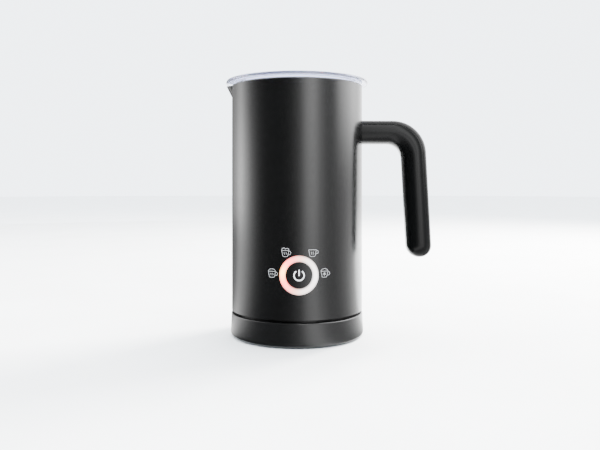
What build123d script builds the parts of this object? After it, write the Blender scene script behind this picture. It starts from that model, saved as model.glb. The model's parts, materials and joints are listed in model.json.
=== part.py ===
from build123d import *
import os
from math import atan2, cos, degrees, radians, sin, sqrt

# Milk frother: a cordless jug with a magnetically driven whisk, standing on a round power base.
# Millimetres. The origin is on the jug's axis at the level of the table, +Z is up.
# The button faces -Y, the handle points to +X and the pouring lip to -X.

os.makedirs("parts", exist_ok=True)

# ---------------------------------------------------------------- driving dimensions
BODY_R = 50.0  # painted steel shell
SHELL_T = 0.8
GAP = 0.3  # between pieces that move against each other

BASE_LOW = 0.4  # the anti-slip ring stands the base this far off the table
BASE_TOP = 18.1
BASE_R_TOP = 50.2
BASE_R_LOW = 50.8
BASE_WALL = 2.6
BASE_IN_R = BASE_R_LOW - BASE_WALL
BASE_UNDER_R = 49.2  # where the rounded lower edge starts on the underside
BASE_SHOULDER_R = 49.4  # where the rounded upper edge ends on top
DECK_T = 2.0
DECK_LOW = BASE_TOP - DECK_T
SEAT_IN, SEAT_OUT = 40.2, 45.2  # ring on the deck that the jug stands on
SEAT_TOP = 20.3

SHELL_LOW = 19.7
SHELL_TOP = 189.5
RIM_T = 0.7  # rolled rim of the inner pot
RIM_TOP = SHELL_TOP + RIM_T

POT_R = 43.5
POT_T = 0.9
POT_FLOOR = 90.0
POT_FLOOR_T = 1.4
POT_CORNER = 8.0

LID_R = 54.3
LID_TOP = 194.1
LID_EDGE_T = 2.4

BUTTON_Z = 51.7
RING_R = 13.7
RING_IN_R = 9.45
RING_PROUD = 0.35
BUTTON_R = 9.15
PRESS_TRAVEL = 0.8

LIP_REACH = 54.2  # how far the pouring lip stands out from the axis
LIP_LOW = 181.9  # where it leaves the shell

SCREW_R = 1.2  # self-tapping screws of the base and the board
LONG_SCREW_R = 1.25  # of the bottom, the motor and the handle
HEAD_RECESS = 1.0  # depth of a countersunk screw's seat
HEAD_SUNK = 0.2  # its head lies this far under the surface
FIT = 0.05  # between two pieces that are pressed or glued together

BOTTOM = (Align.CENTER, Align.CENTER, Align.MIN)
POST_ANGLES = (45, 180, 315)
POST_RING = 40.0
STANDOFF_ANGLES = (90, 210, 300)
STANDOFF_RING = 30.0


# ---------------------------------------------------------------- helpers
def polar(radius, angle, z=0.0):
    """A point at that radius and angle round the axis."""
    return (radius * cos(radians(angle)), radius * sin(radians(angle)), z)


def radial_plane(angle):
    """The upright plane through the axis whose local x points outwards at that angle and y is up."""
    across = (sin(radians(angle)), -cos(radians(angle)), 0)
    return Plane(origin=(0, 0, 0), x_dir=polar(1, angle), z_dir=across)


def disc(radius, low, high, at=(0.0, 0.0), mode=Mode.ADD):
    """An upright cylinder between two heights, in the part being built."""
    with Locations((at[0], at[1], low)):
        Cylinder(radius, high - low, align=BOTTOM, mode=mode)


def tube(inner, outer, low, high, at=(0.0, 0.0)):
    """A ring between two heights, in the part being built, whose bore is cut through what is there."""
    disc(outer, low, high, at)
    disc(inner, low, high, at, Mode.SUBTRACT)


def washer(inner, outer, low, high, mode=Mode.ADD):
    """A ring between two heights, which leaves what is inside its bore alone."""
    with BuildSketch(Plane.XY.offset(low)) as ring:
        Circle(outer)
        Circle(inner, mode=Mode.SUBTRACT)
    extrude(ring.sketch, amount=high - low, mode=mode)


def bored(radius, points, low, high):
    """Upright holes at these points."""
    for point in points:
        disc(radius, low, high, point, Mode.SUBTRACT)


def front_disc(radius, front, back, z=BUTTON_Z, x=0.0, mode=Mode.ADD):
    """A cylinder along Y between two values of y, as the button's pieces are."""
    with Locations(Location((x, front, z), (-90, 0, 0))):
        Cylinder(radius, back - front, align=BOTTOM, mode=mode)


def side_disc(radius, inner, outer, z, y=0.0, mode=Mode.ADD):
    """A cylinder along X between two values of x, as the handle's screws are."""
    with Locations(Location((inner, y, z), (0, 90, 0))):
        Cylinder(radius, outer - inner, align=BOTTOM, mode=mode)


def block(size, centre, mode=Mode.ADD):
    """A box about its centre."""
    with Locations(centre):
        Box(*size, mode=mode)


# The pouring lip is a slanted round channel. Its three surfaces share one axis: the shell's
# outside, the shell's inside and pot's outside a wall further in, and the pot's inside.
LIP_SLOPE = (LIP_REACH - BODY_R) / (RIM_TOP - LIP_LOW)
LIP_TILT = degrees(atan2(LIP_SLOPE, 1.0))
LIP_R = 8.5
LIP_HALF = LIP_R * sqrt(1 + LIP_SLOPE**2)  # half its width in a level cut
LIP_DEPTH = 45.0


def lip_channel(radius, mode=Mode.ADD):
    """The slanted cylinder of the pouring lip, long enough to end inside the pot and above the rim."""
    with Locations(Location((-(LIP_REACH - LIP_HALF), 0, RIM_TOP), (0, -LIP_TILT, 0))):
        Cylinder(radius, 2 * LIP_DEPTH, mode=mode)


# ================================================================ power base
FOOT_IN, FOOT_OUT = 36.0, 41.2  # seat of the anti-slip ring
BASE_SCREW_RING = 31.0
BASE_SCREW_ANGLES = (45, 135, 225, 315)
base_screw_points = [polar(BASE_SCREW_RING, a)[:2] for a in BASE_SCREW_ANGLES]
BASE_BOSS_R = 3.2
BASE_HEAD_R = 2.8
HUB_R = 16.2
GLAND_Z = 9.8
GLAND_W = 9.0  # the gland's barrel is a rounded square
GLAND_ROUND = 2.0
GLAND_IN, GLAND_NECK, GLAND_OUT = 45.0, 47.4, 52.4  # its flange lies between the first two
CORD_R = 3.3
PLATE_LOW, PLATE_TOP = 1.6, 3.6
FOOT_TOP = PLATE_LOW + 1.0
CLAMP_LOW, CLAMP_TOP = 5.2, 8.2
CLAMP_Y = 38.5
CLAMP_SCREW_R, CLAMP_BOSS_R = 1.1, 2.6
clamp_points = [(-8.0, CLAMP_Y), (8.0, CLAMP_Y)]

with BuildPart() as base_top_cover:
    with BuildSketch(Plane.XZ):
        with BuildLine():
            Line((BASE_IN_R, BASE_LOW), (BASE_UNDER_R, BASE_LOW))
            ThreePointArc(
                (BASE_UNDER_R, BASE_LOW), (BASE_UNDER_R + 1.15, BASE_LOW + 1.4), (BASE_R_LOW, BASE_LOW + 4)
            )
            Line((BASE_R_LOW, BASE_LOW + 4), (BASE_R_TOP, BASE_TOP - 0.8))
            ThreePointArc(
                (BASE_R_TOP, BASE_TOP - 0.8),
                (BASE_R_TOP - 0.23, BASE_TOP - 0.23),
                (BASE_SHOULDER_R, BASE_TOP),
            )
            Polyline(
                (BASE_SHOULDER_R, BASE_TOP),
                (SEAT_OUT, BASE_TOP),
                (SEAT_OUT, SEAT_TOP),
                (SEAT_IN, SEAT_TOP),
                (SEAT_IN, BASE_TOP),
                (HUB_R, BASE_TOP),
                (HUB_R, DECK_LOW),
                (BASE_IN_R, DECK_LOW),
                (BASE_IN_R, BASE_LOW),
            )
        make_face()
    revolve(axis=Axis.Z)
    for point in base_screw_points:
        disc(BASE_BOSS_R, PLATE_TOP, DECK_LOW + 0.5, point)
    bored(SCREW_R, base_screw_points, PLATE_TOP, DECK_LOW - 1)
    # cord hole at the back, and the bosses that carry the cord clamp
    with BuildSketch(Plane.XZ.offset(1 - GLAND_IN)):
        with Locations((0, GLAND_Z)):
            RectangleRounded(GLAND_W + 0.2, GLAND_W + 0.2, GLAND_ROUND + 0.1)
    extrude(amount=-10, mode=Mode.SUBTRACT)
    for point in clamp_points:
        disc(CLAMP_BOSS_R, CLAMP_TOP, DECK_LOW, point)
    bored(CLAMP_SCREW_R, clamp_points, CLAMP_TOP, DECK_LOW - 1)
    # drain notches in the seat ring
    with PolarLocations((SEAT_IN + SEAT_OUT) / 2, 3, start_angle=30):
        with Locations((0, 0, SEAT_TOP - 0.55)):
            Box(7, 4, 1.2, mode=Mode.SUBTRACT)

with BuildPart() as base_bottom_cover:
    disc(BASE_IN_R - 0.1, PLATE_LOW, PLATE_TOP)
    # seat of the anti-slip ring, screw recesses and vents
    washer(FOOT_IN, FOOT_OUT, PLATE_LOW, FOOT_TOP, Mode.SUBTRACT)
    bored(SCREW_R + 0.5, base_screw_points, PLATE_LOW, PLATE_TOP)
    bored(BASE_HEAD_R + 0.3, base_screw_points, PLATE_LOW, PLATE_LOW + HEAD_RECESS)
    with BuildSketch(Plane.XY.offset(PLATE_LOW)):
        with PolarLocations(12, 8):
            SlotOverall(9, 2)
    extrude(amount=PLATE_TOP - PLATE_LOW, mode=Mode.SUBTRACT)

with BuildPart() as anti_slip_ring:
    tube(FOOT_IN + FIT, FOOT_OUT - FIT, 0, FOOT_TOP)
    chamfer(anti_slip_ring.faces().sort_by(Axis.Z)[0].edges(), 0.4)

with BuildPart() as base_screws:
    for point in base_screw_points:
        disc(BASE_HEAD_R, PLATE_LOW + HEAD_SUNK, PLATE_LOW + HEAD_RECESS, point)
        disc(SCREW_R, PLATE_LOW + HEAD_RECESS, PLATE_TOP + 8, point)

# The base half of the round coupler: a tower with a middle bore and two ring slots.
TOWER_R, TOWER_TOP = 14.4, 29.5
CENTRE_R, CENTRE_LOW = 2.8, 17.0
SLOT_INNER, SLOT_INNER_LOW = (5.6, 7.8), 18.5
SLOT_OUTER, SLOT_OUTER_LOW = (10.0, 11.8), 19.5
FLANGE_R, FLANGE_LOW = 20.0, 12.6

with BuildPart() as base_coupler:
    disc(FLANGE_R, FLANGE_LOW, DECK_LOW)
    disc(HUB_R - 0.2, DECK_LOW, BASE_TOP)
    disc(TOWER_R, BASE_TOP, TOWER_TOP)
    chamfer(base_coupler.faces().sort_by(Axis.Z)[-1].edges(), 0.8)
    disc(CENTRE_R, CENTRE_LOW, TOWER_TOP, mode=Mode.SUBTRACT)
    washer(*SLOT_INNER, SLOT_INNER_LOW, TOWER_TOP, Mode.SUBTRACT)
    washer(*SLOT_OUTER, SLOT_OUTER_LOW, TOWER_TOP, Mode.SUBTRACT)

with BuildPart() as base_contacts:
    washer(CENTRE_R - 0.5, CENTRE_R, CENTRE_LOW, CENTRE_LOW + 7)
    washer(SLOT_INNER[0], SLOT_INNER[0] + 0.4, SLOT_INNER_LOW, SLOT_INNER_LOW + 6.5)
    washer(SLOT_OUTER[1] - 0.4, SLOT_OUTER[1], SLOT_OUTER_LOW, SLOT_OUTER_LOW + 6.5)

with BuildPart() as cord_gland:
    with BuildSketch(Plane.XZ.offset(-GLAND_IN)):
        with Locations((0, GLAND_Z)):
            RectangleRounded(GLAND_W + 3, GLAND_W + 2.6, GLAND_ROUND + 0.5)
    extrude(amount=GLAND_IN - GLAND_NECK)
    with BuildSketch(Plane.XZ.offset(-GLAND_NECK)):
        with Locations((0, GLAND_Z)):
            RectangleRounded(GLAND_W, GLAND_W, GLAND_ROUND)
    extrude(amount=GLAND_NECK - GLAND_OUT)
    chamfer(cord_gland.faces().sort_by(Axis.Y)[-1].edges(), 0.6)
    front_disc(CORD_R, GLAND_IN, GLAND_OUT, z=GLAND_Z, mode=Mode.SUBTRACT)

with BuildPart() as cord_clamp:
    block((21, 6, CLAMP_TOP - CLAMP_LOW), (0, CLAMP_Y, (CLAMP_TOP + CLAMP_LOW) / 2))
    front_disc(CORD_R, CLAMP_Y - 4, CLAMP_Y + 4, z=GLAND_Z, mode=Mode.SUBTRACT)
    bored(CLAMP_SCREW_R + 0.2, clamp_points, CLAMP_LOW, CLAMP_TOP)

with BuildPart() as clamp_screws:
    for point in clamp_points:
        disc(CLAMP_SCREW_R + 1.2, CLAMP_LOW - 1.2, CLAMP_LOW, point)
        disc(CLAMP_SCREW_R, CLAMP_LOW, CLAMP_TOP + 5, point)

# ================================================================ jug: coupler and bottom
COUPLER_R = 19.5
COUPLER_LOW, COUPLER_TOP = 32.0, 35.0
SKIRT_IN, SKIRT_OUT, SKIRT_LOW = 15.0, 16.8, 21.5  # goes down round the base's tower
CUP_R = 21.9
BOTTOM_Z = 20.5
BOTTOM_T = 2.0
BOTTOM_RIM_TOP = BOTTOM_Z + 10
BOTTOM_FLOOR = BOTTOM_Z + BOTTOM_T
BOTTOM_HEAD_R = 2.9
BOARD_LOW, BOARD_T = 39.0, 1.6

with BuildPart() as jug_coupler:
    disc(COUPLER_R, COUPLER_LOW, COUPLER_TOP)
    tube(SKIRT_IN, SKIRT_OUT, SKIRT_LOW, COUPLER_LOW)

with BuildPart() as coupler_contacts:
    disc(1.8, 19.5, COUPLER_LOW)
    washer(6.5, 7.3, SKIRT_LOW, COUPLER_LOW)
    washer(10.4, 11.0, SKIRT_LOW + 1, COUPLER_LOW)
    # flat terminals on the coupler's back
    for x in (-7, 0, 7):
        block((4.8, 0.8, 3.5), (x, 0, COUPLER_TOP + 1.75))

post_points = [polar(POST_RING, a)[:2] for a in POST_ANGLES]
standoff_points = [polar(STANDOFF_RING, a)[:2] for a in STANDOFF_ANGLES]
SHELL_IN = BODY_R - SHELL_T

with BuildPart() as jug_bottom_cover:
    disc(SHELL_IN - 0.2, BOTTOM_Z, BOTTOM_RIM_TOP)
    disc(SHELL_IN - 2.2, BOTTOM_FLOOR, BOTTOM_RIM_TOP, mode=Mode.SUBTRACT)
    chamfer(jug_bottom_cover.faces().sort_by(Axis.Z)[0].edges(), 0.5)
    disc(CUP_R, BOTTOM_Z, COUPLER_TOP + GAP)
    disc(COUPLER_R + 0.4, COUPLER_LOW - GAP, COUPLER_TOP + GAP, mode=Mode.SUBTRACT)
    disc(SKIRT_OUT + 0.5, BOTTOM_Z, COUPLER_LOW, mode=Mode.SUBTRACT)
    for point in standoff_points:
        disc(2.6, BOTTOM_FLOOR, BOARD_LOW, point)
    bored(LONG_SCREW_R + 0.45, post_points, BOTTOM_Z, BOTTOM_FLOOR)
    bored(BOTTOM_HEAD_R + 0.3, post_points, BOTTOM_Z, BOTTOM_Z + HEAD_RECESS)

with BuildPart() as coupler_retainer:
    tube(17.6, CUP_R, COUPLER_TOP + GAP, 37.0)

with BuildPart() as bottom_screws:
    for point in post_points:
        disc(BOTTOM_HEAD_R, BOTTOM_Z + HEAD_SUNK, BOTTOM_Z + HEAD_RECESS, point)
        disc(LONG_SCREW_R, BOTTOM_Z + HEAD_RECESS, BOTTOM_RIM_TOP, point)

# ================================================================ jug: shell, pot and rim
HANDLE_SCREW_Z = (150.3, 157.4)
HANDLE_HOLE_R = 1.8

with BuildPart() as outer_shell:
    disc(BODY_R, SHELL_LOW, SHELL_TOP)
    chamfer(outer_shell.faces().sort_by(Axis.Z)[0].edges(), 0.3)
    lip_channel(LIP_R)
    disc(SHELL_IN, SHELL_LOW, SHELL_TOP, mode=Mode.SUBTRACT)
    lip_channel(LIP_R - SHELL_T, Mode.SUBTRACT)
    # trim the channel above the rim and inside the shell
    disc(2 * BODY_R, SHELL_TOP, SHELL_TOP + 2 * LIP_DEPTH, mode=Mode.SUBTRACT)
    disc(SHELL_IN, SHELL_LOW, SHELL_TOP, mode=Mode.SUBTRACT)
    front_disc(RING_R + 0.2, -60, -40, mode=Mode.SUBTRACT)
    for z in HANDLE_SCREW_Z:
        side_disc(HANDLE_HOLE_R, 40, 60, z, mode=Mode.SUBTRACT)

# the part of the rolled rim that follows the lip
with BuildPart() as lip_rim:
    lip_channel(LIP_R)
    disc(2 * BODY_R, 0, SHELL_TOP, mode=Mode.SUBTRACT)

with BuildPart() as pot_hollow:
    disc(POT_R, POT_FLOOR, RIM_TOP)
    fillet(pot_hollow.edges().sort_by(Axis.Z)[0], POT_CORNER)
    lip_channel(LIP_R - 2 * SHELL_T)

with BuildPart() as inner_pot:
    with BuildSketch(Plane.XZ):
        with BuildLine():
            Polyline(
                (0, POT_FLOOR - POT_FLOOR_T),
                (POT_R + POT_T, POT_FLOOR - POT_FLOOR_T),
                (POT_R + POT_T, SHELL_TOP),
                (BODY_R, SHELL_TOP),
                (BODY_R, RIM_TOP),
                (0, RIM_TOP),
                (0, POT_FLOOR - POT_FLOOR_T),
            )
        make_face()
    revolve(axis=Axis.Z)
    fillet(inner_pot.edges().filter_by(GeomType.CIRCLE).sort_by(Axis.Z)[0], POT_CORNER + POT_T)
    lip_channel(LIP_R - SHELL_T - 0.1)
    add(lip_rim.part)
    disc(2 * BODY_R, RIM_TOP, RIM_TOP + 2 * LIP_DEPTH, mode=Mode.SUBTRACT)
    add(pot_hollow.part, mode=Mode.SUBTRACT)

with BuildPart() as rim_gasket:
    tube(POT_R + POT_T + 0.1, SHELL_IN - 0.1, SHELL_TOP - 2.6, SHELL_TOP - 0.1)
    lip_channel(LIP_R - SHELL_T, Mode.SUBTRACT)

PIN_R, PIN_TOP = 1.5, 106.0
PIN_FOOT_TOP = POT_FLOOR + 1.2
with BuildPart() as spindle_pin:
    disc(4.5, POT_FLOOR + FIT, PIN_FOOT_TOP)
    disc(PIN_R, PIN_FOOT_TOP, PIN_TOP)
    fillet(spindle_pin.faces().sort_by(Axis.Z)[-1].edges(), 1.0)

# ================================================================ whisks
BORE_R = 1.6
WHISK_LOW = 92.0
WHISK_HUB_R, WHISK_RIM_R = 11.8, 13.5
MAGNET_RING, MAGNET_R, MAGNET_T = 6.9, 3.2, 3.0
COIL_RING, COIL_R = 14.8, 2.6
COIL_SKIN = 0.25  # as much steel as the wire of the wound ring has
COIL_Z = WHISK_LOW + 3.4
magnet_points = [(MAGNET_RING, 0), (-MAGNET_RING, 0)]

with BuildPart() as whisk_hub:
    with BuildSketch(Plane.XZ):
        with BuildLine():
            Polyline(
                (0, WHISK_LOW),
                (WHISK_RIM_R, WHISK_LOW),
                (WHISK_RIM_R, WHISK_LOW + 0.5),
                (WHISK_HUB_R, WHISK_LOW + 0.5),
                (WHISK_HUB_R, WHISK_LOW + 4.6),
                (6.0, WHISK_LOW + 6.0),
                (4.2, WHISK_LOW + 12.0),
                (3.6, WHISK_LOW + 17.0),
                (2.2, WHISK_LOW + 18.6),
                (0, WHISK_LOW + 18.6),
                close=True,
            )
        make_face()
    revolve(axis=Axis.Z)
    with PolarLocations(0, 4, start_angle=45):
        with Locations((5.9, 0, WHISK_LOW + 7.0)):
            Box(7.8, 1.2, 6.0)
    disc(BORE_R, WHISK_LOW, PIN_TOP + 0.2, mode=Mode.SUBTRACT)
    bored(MAGNET_R, magnet_points, WHISK_LOW, WHISK_LOW + MAGNET_T)

with BuildPart() as whisk_magnets:
    for point in magnet_points:
        disc(MAGNET_R, WHISK_LOW, WHISK_LOW + MAGNET_T, point)

with BuildPart() as whisk_coil:
    with BuildSketch(Plane.XZ):
        with Locations((COIL_RING, COIL_Z)):
            Circle(COIL_R)
            Circle(COIL_R - COIL_SKIN, mode=Mode.SUBTRACT)
    revolve(axis=Axis.Z)

STIR_TOP = 178.2
STIR_DISC_LOW = STIR_TOP - 4.6
with BuildPart() as stir_whisk:
    disc(10.6, STIR_DISC_LOW, STIR_TOP)
    disc(4.2, STIR_TOP - 14.0, STIR_DISC_LOW)
    fillet(stir_whisk.faces().sort_by(Axis.Z)[0].edges(), 2.0)
    with PolarLocations(0, 4, start_angle=45):
        with Locations((9.6, 0, STIR_DISC_LOW)):
            Box(13.0, 1.4, 7.6)
    disc(BORE_R, STIR_TOP - 10.0, STIR_TOP, mode=Mode.SUBTRACT)
    bored(MAGNET_R, magnet_points, STIR_TOP - MAGNET_T, STIR_TOP)

with BuildPart() as stir_whisk_magnets:
    for point in magnet_points:
        disc(MAGNET_R, STIR_TOP - MAGNET_T, STIR_TOP, point)

# ================================================================ lid
LID_WALL_R = 42.2
LID_DISH_R = 40.0
LID_FLOOR = 181.6
LID_FLOOR_T = 2.0
SEAL_Z = 186.0
SEAL_T, SEAL_H = 1.2, 5.6
LID_LAND = RIM_TOP + GAP  # the step that rests on the rim
LID_LAND_R = 49.4
LID_UNDER = LID_TOP - LID_EDGE_T
DISH_FLOOR = LID_FLOOR + LID_FLOOR_T

with BuildPart() as lid:
    with BuildSketch(Plane.XZ):
        with BuildLine():
            Polyline(
                (0, LID_FLOOR),
                (LID_WALL_R - 1.5, LID_FLOOR),
                (LID_WALL_R, LID_FLOOR + 1.5),
                (LID_WALL_R, LID_LAND),
                (LID_LAND_R, LID_LAND),
                (LID_LAND_R, LID_UNDER),
                (LID_R - 0.5, LID_UNDER),
            )
            ThreePointArc((LID_R - 0.5, LID_UNDER), (LID_R, LID_TOP - 1.3), (LID_R - 0.8, LID_TOP - 0.1))
            Polyline(
                (LID_R - 0.8, LID_TOP - 0.1),
                (LID_R - 1.4, LID_TOP),
                (LID_DISH_R + 1.4, LID_TOP),
                (LID_DISH_R, LID_TOP - 1.4),
                (LID_DISH_R - 0.6, DISH_FLOOR + 1.2),
                (LID_DISH_R - 1.8, DISH_FLOOR),
                (0, DISH_FLOOR),
                (0, LID_FLOOR),
            )
        make_face()
    revolve(axis=Axis.Z)
    # grip bar across the dish
    with BuildSketch(Plane.XY.offset(DISH_FLOOR - 0.5)):
        Rectangle(2 * LID_DISH_R - 1.4, 7.0)
    extrude(amount=9.0, taper=3)
    fillet(lid.edges().filter_by(Axis.X).group_by(Axis.Z)[-1], 1.6)
    # seal groove and the peg that stores the second whisk
    with BuildSketch(Plane.XZ):
        with Locations((LID_WALL_R, SEAL_Z)):
            Rectangle(SEAL_T, SEAL_H)
    revolve(axis=Axis.Z, mode=Mode.SUBTRACT)
    disc(3.6, STIR_TOP + GAP, LID_FLOOR + 0.5)
    disc(PIN_R, STIR_TOP - 9.6, STIR_TOP + GAP)

with BuildPart() as lid_seal:
    with BuildSketch(Plane.XZ):
        with Locations((LID_WALL_R, SEAL_Z)):
            Rectangle(SEAL_T, SEAL_H)
        with GridLocations(0, 1.8, 1, 3), Locations((LID_WALL_R + 0.8, SEAL_Z)):
            Rectangle(0.7, 0.7)
    revolve(axis=Axis.Z)

# ================================================================ handle
GRIP_T = 19.3  # across the grip, away from the jug
ARM_T = 18.3  # the level arm's height
GRIP_W = 21.0  # along Y
GRIP_EDGE = 9.0  # rounding of the section: nearly an oval
END_OUT, END_IN = 9.2, 9.8  # corners of the free end
HANDLE_TOP = 164.4
HANDLE_END = 58.8
GRIP_SLANT = 0.0557  # the grip leans outwards towards its free end
GRIP_X = 92.35  # its middle at the height below
GRIP_X_Z = 103.1
HANDLE_WALL = 2.4
COVER_T = 3.6  # the outer cover is this deep where it meets the inner half
COVER_END_OUT, COVER_END_IN = 4.0, 6.0  # corners of the line where the halves meet
SEAM = 0.25  # open joint between the two halves


def grip_x(z, side):
    """x of the grip's inner (-1) or outer (+1) edge at a height."""
    return GRIP_X + (GRIP_X_Z - z) * GRIP_SLANT + side * GRIP_T / 2


def handle_outline(inset, root, bend_out, bend_in, end_out, end_in):
    """The handle's side outline, drawn in by inset, as a face in the plane of X and Z."""
    top, low = HANDLE_TOP - inset, HANDLE_TOP - ARM_T + inset
    end = HANDLE_END + inset
    corners = [
        (root, low),
        (root, top),
        (grip_x(top, 1) - inset, top),
        (grip_x(end, 1) - inset, end),
        (grip_x(end, -1) + inset, end),
        (grip_x(low, -1) + inset, low),
    ]
    with BuildSketch(Plane.XZ) as outline:
        with BuildLine():
            FilletPolyline(*corners, radius=[0, 0, bend_out, end_out, end_in, bend_in], close=True)
        make_face()
    return outline.sketch


ROOT_X = 46.0
BOSS_R = 3.0
BEND_OUT, BEND_IN = 26.0, 11.5
BRACKET_LOW, BRACKET_TOP, BRACKET_T = 144.0, 165.0, 1.2
BRACKET_OUT = SHELL_IN - 0.1
BRACKET_IN = BRACKET_OUT - BRACKET_T
HANDLE_HEAD_IN = SHELL_IN - 2.9


def side_edges(part, half_width):
    """The edges round both side faces of a part, without those at the handle's root."""
    return [
        edge
        for edge in part.edges()
        if abs(abs(edge.center().Y) - half_width) < 0.01 and edge.center().X > ROOT_X + 0.5
    ]


with BuildPart() as handle_solid:
    extrude(handle_outline(0, ROOT_X, BEND_OUT, BEND_IN, END_OUT, END_IN), amount=GRIP_W / 2, both=True)
    fillet(side_edges(handle_solid, GRIP_W / 2), GRIP_EDGE)
    disc(BODY_R + 0.05, 0, 200, mode=Mode.SUBTRACT)

with BuildPart() as handle_cavity:
    extrude(
        handle_outline(
            HANDLE_WALL,
            BODY_R + 3.2,
            BEND_OUT - HANDLE_WALL,
            BEND_IN + HANDLE_WALL,
            END_OUT - HANDLE_WALL,
            END_IN - HANDLE_WALL,
        ),
        amount=GRIP_W / 2 - HANDLE_WALL,
        both=True,
    )
    fillet(side_edges(handle_cavity, GRIP_W / 2 - HANDLE_WALL), GRIP_EDGE - HANDLE_WALL)


def inside_cover(depth):
    """The side outline of what lies under a cover of that depth, which runs along top and outside."""
    under = handle_outline(depth, ROOT_X - 5, BEND_OUT - depth, BEND_IN + depth, COVER_END_OUT, COVER_END_IN)
    with BuildSketch(Plane.XZ) as rest:
        with BuildLine():
            Polyline(
                (ROOT_X - 5, HANDLE_TOP - depth - 5),
                (grip_x(150, -1) + depth + 2, HANDLE_TOP - depth - 5),
                (grip_x(HANDLE_END, 1) - depth - COVER_END_OUT, HANDLE_END + depth + COVER_END_OUT),
                (grip_x(HANDLE_END, 1) - depth - COVER_END_OUT, HANDLE_END - 5),
                (ROOT_X - 5, HANDLE_END - 5),
                close=True,
            )
        make_face()
        add(under)
    return rest.sketch


with BuildPart() as under_cover:
    extrude(inside_cover(COVER_T), amount=GRIP_W, both=True)

with BuildPart() as under_seam:
    extrude(inside_cover(COVER_T + SEAM), amount=GRIP_W, both=True)

with BuildPart() as handle_shell:
    add(handle_solid.part)
    add(handle_cavity.part, mode=Mode.SUBTRACT)
    add(under_seam.part, mode=Mode.INTERSECT)
    for z in HANDLE_SCREW_Z:
        side_disc(BOSS_R, BODY_R + 1.5, BODY_R + 14, z)
        side_disc(LONG_SCREW_R + FIT, BODY_R - 1, BODY_R + 12, z, mode=Mode.SUBTRACT)

with BuildPart() as handle_cover:
    add(handle_solid.part)
    add(handle_cavity.part, mode=Mode.SUBTRACT)
    add(under_cover.part, mode=Mode.SUBTRACT)

with BuildPart() as handle_bracket:
    tube(BRACKET_IN, BRACKET_OUT, BRACKET_LOW, BRACKET_TOP)
    block((20, 16, 40), (BODY_R, 0, (BRACKET_LOW + BRACKET_TOP) / 2), mode=Mode.INTERSECT)
    for z in HANDLE_SCREW_Z:
        side_disc(HANDLE_HOLE_R, 40, 60, z, mode=Mode.SUBTRACT)

with BuildPart() as handle_screws:
    for z in HANDLE_SCREW_Z:
        side_disc(2.6, HANDLE_HEAD_IN, BRACKET_IN - 0.1, z)
        side_disc(LONG_SCREW_R, BRACKET_IN - 0.1, BODY_R + 11, z)

# ================================================================ heater and sensors
HEATER_TOP = POT_FLOOR - POT_FLOOR_T
HEATER_LOW = HEATER_TOP - 4.0
ELEMENT_RING, ELEMENT_R = 31.0, 3.3
ELEMENT_Z = HEATER_LOW - ELEMENT_R
ELEMENT_START, ELEMENT_ARC = 125, 290
TERMINAL_R = 1.3
SENSOR = polar(24.2, -45)[:2]
SENSOR_COLLAR_LOW = HEATER_LOW - 2.2
FRAME_LOW, FRAME_TOP = 74.0, 76.0

with BuildPart() as heater_plate:
    # the pot's corner curves up, so the plate ends where the flat floor does
    tube(20.0, POT_R + POT_T - POT_CORNER, HEATER_LOW, HEATER_TOP)
    bored(3.0, [SENSOR], HEATER_LOW, HEATER_TOP)

element_ends = [polar(ELEMENT_RING, ELEMENT_START)[:2], polar(ELEMENT_RING, ELEMENT_START + ELEMENT_ARC)[:2]]
with BuildPart() as heater_element:
    with BuildSketch(radial_plane(ELEMENT_START)):
        with Locations((ELEMENT_RING, ELEMENT_Z)):
            Circle(ELEMENT_R)
    revolve(axis=Axis.Z, revolution_arc=ELEMENT_ARC)
    for point in element_ends:
        with Locations((point[0], point[1], ELEMENT_Z)):
            Sphere(ELEMENT_R)
        disc(TERMINAL_R, FRAME_LOW - 4, ELEMENT_Z, point)

with BuildPart() as overheat_thermostat:
    disc(7.8, HEATER_LOW - 6.5, HEATER_LOW, (0, ELEMENT_RING))
    for x in (-4, 4):
        block((3.2, 0.8, 5.0), (x, ELEMENT_RING, HEATER_LOW - 8.5))

with BuildPart() as temperature_sensor:
    disc(2.1, FRAME_TOP + 0.5, HEATER_TOP, SENSOR)
    disc(3.2, SENSOR_COLLAR_LOW, SENSOR_COLLAR_LOW + 1.2, SENSOR)

SPRING_WIRE = 0.35
with BuildPart() as sensor_spring:
    with BuildLine() as coil_path:
        Helix(
            pitch=1.1,
            height=SENSOR_COLLAR_LOW - FRAME_TOP - 2 * (SPRING_WIRE + FIT),
            radius=2.7,
            center=(SENSOR[0], SENSOR[1], FRAME_TOP + SPRING_WIRE + FIT),
        )
    with BuildSketch(Plane(origin=coil_path.line @ 0, z_dir=coil_path.line % 0)):
        Circle(SPRING_WIRE)
    sweep(is_frenet=True)

# ================================================================ drive
SHAFT_R, SHAFT_TOP = 1.15, 82.0
CAN_R, CAN_LOW, CAN_T = 13.5, 46.0, 0.9
CAN_JOINT = CAN_LOW + 2  # where the end cap meets the can
CAN_CEILING = FRAME_LOW - CAN_T
NOSE_TOP = FRAME_TOP - 0.5
BEARING_R = 3.0
FIELD_LOW, FIELD_TOP = 53.0, 70.0
ARMATURE_R, ARMATURE_LOW, ARMATURE_TOP = 9.6, 55.0, 68.0
COMMUTATOR_R, COMMUTATOR_LOW = 3.4, 51.5
ARMATURE_Z = (ARMATURE_LOW + ARMATURE_TOP) / 2
motor_screw_points = [(0, 9.6), (0, -9.6)]

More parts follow.
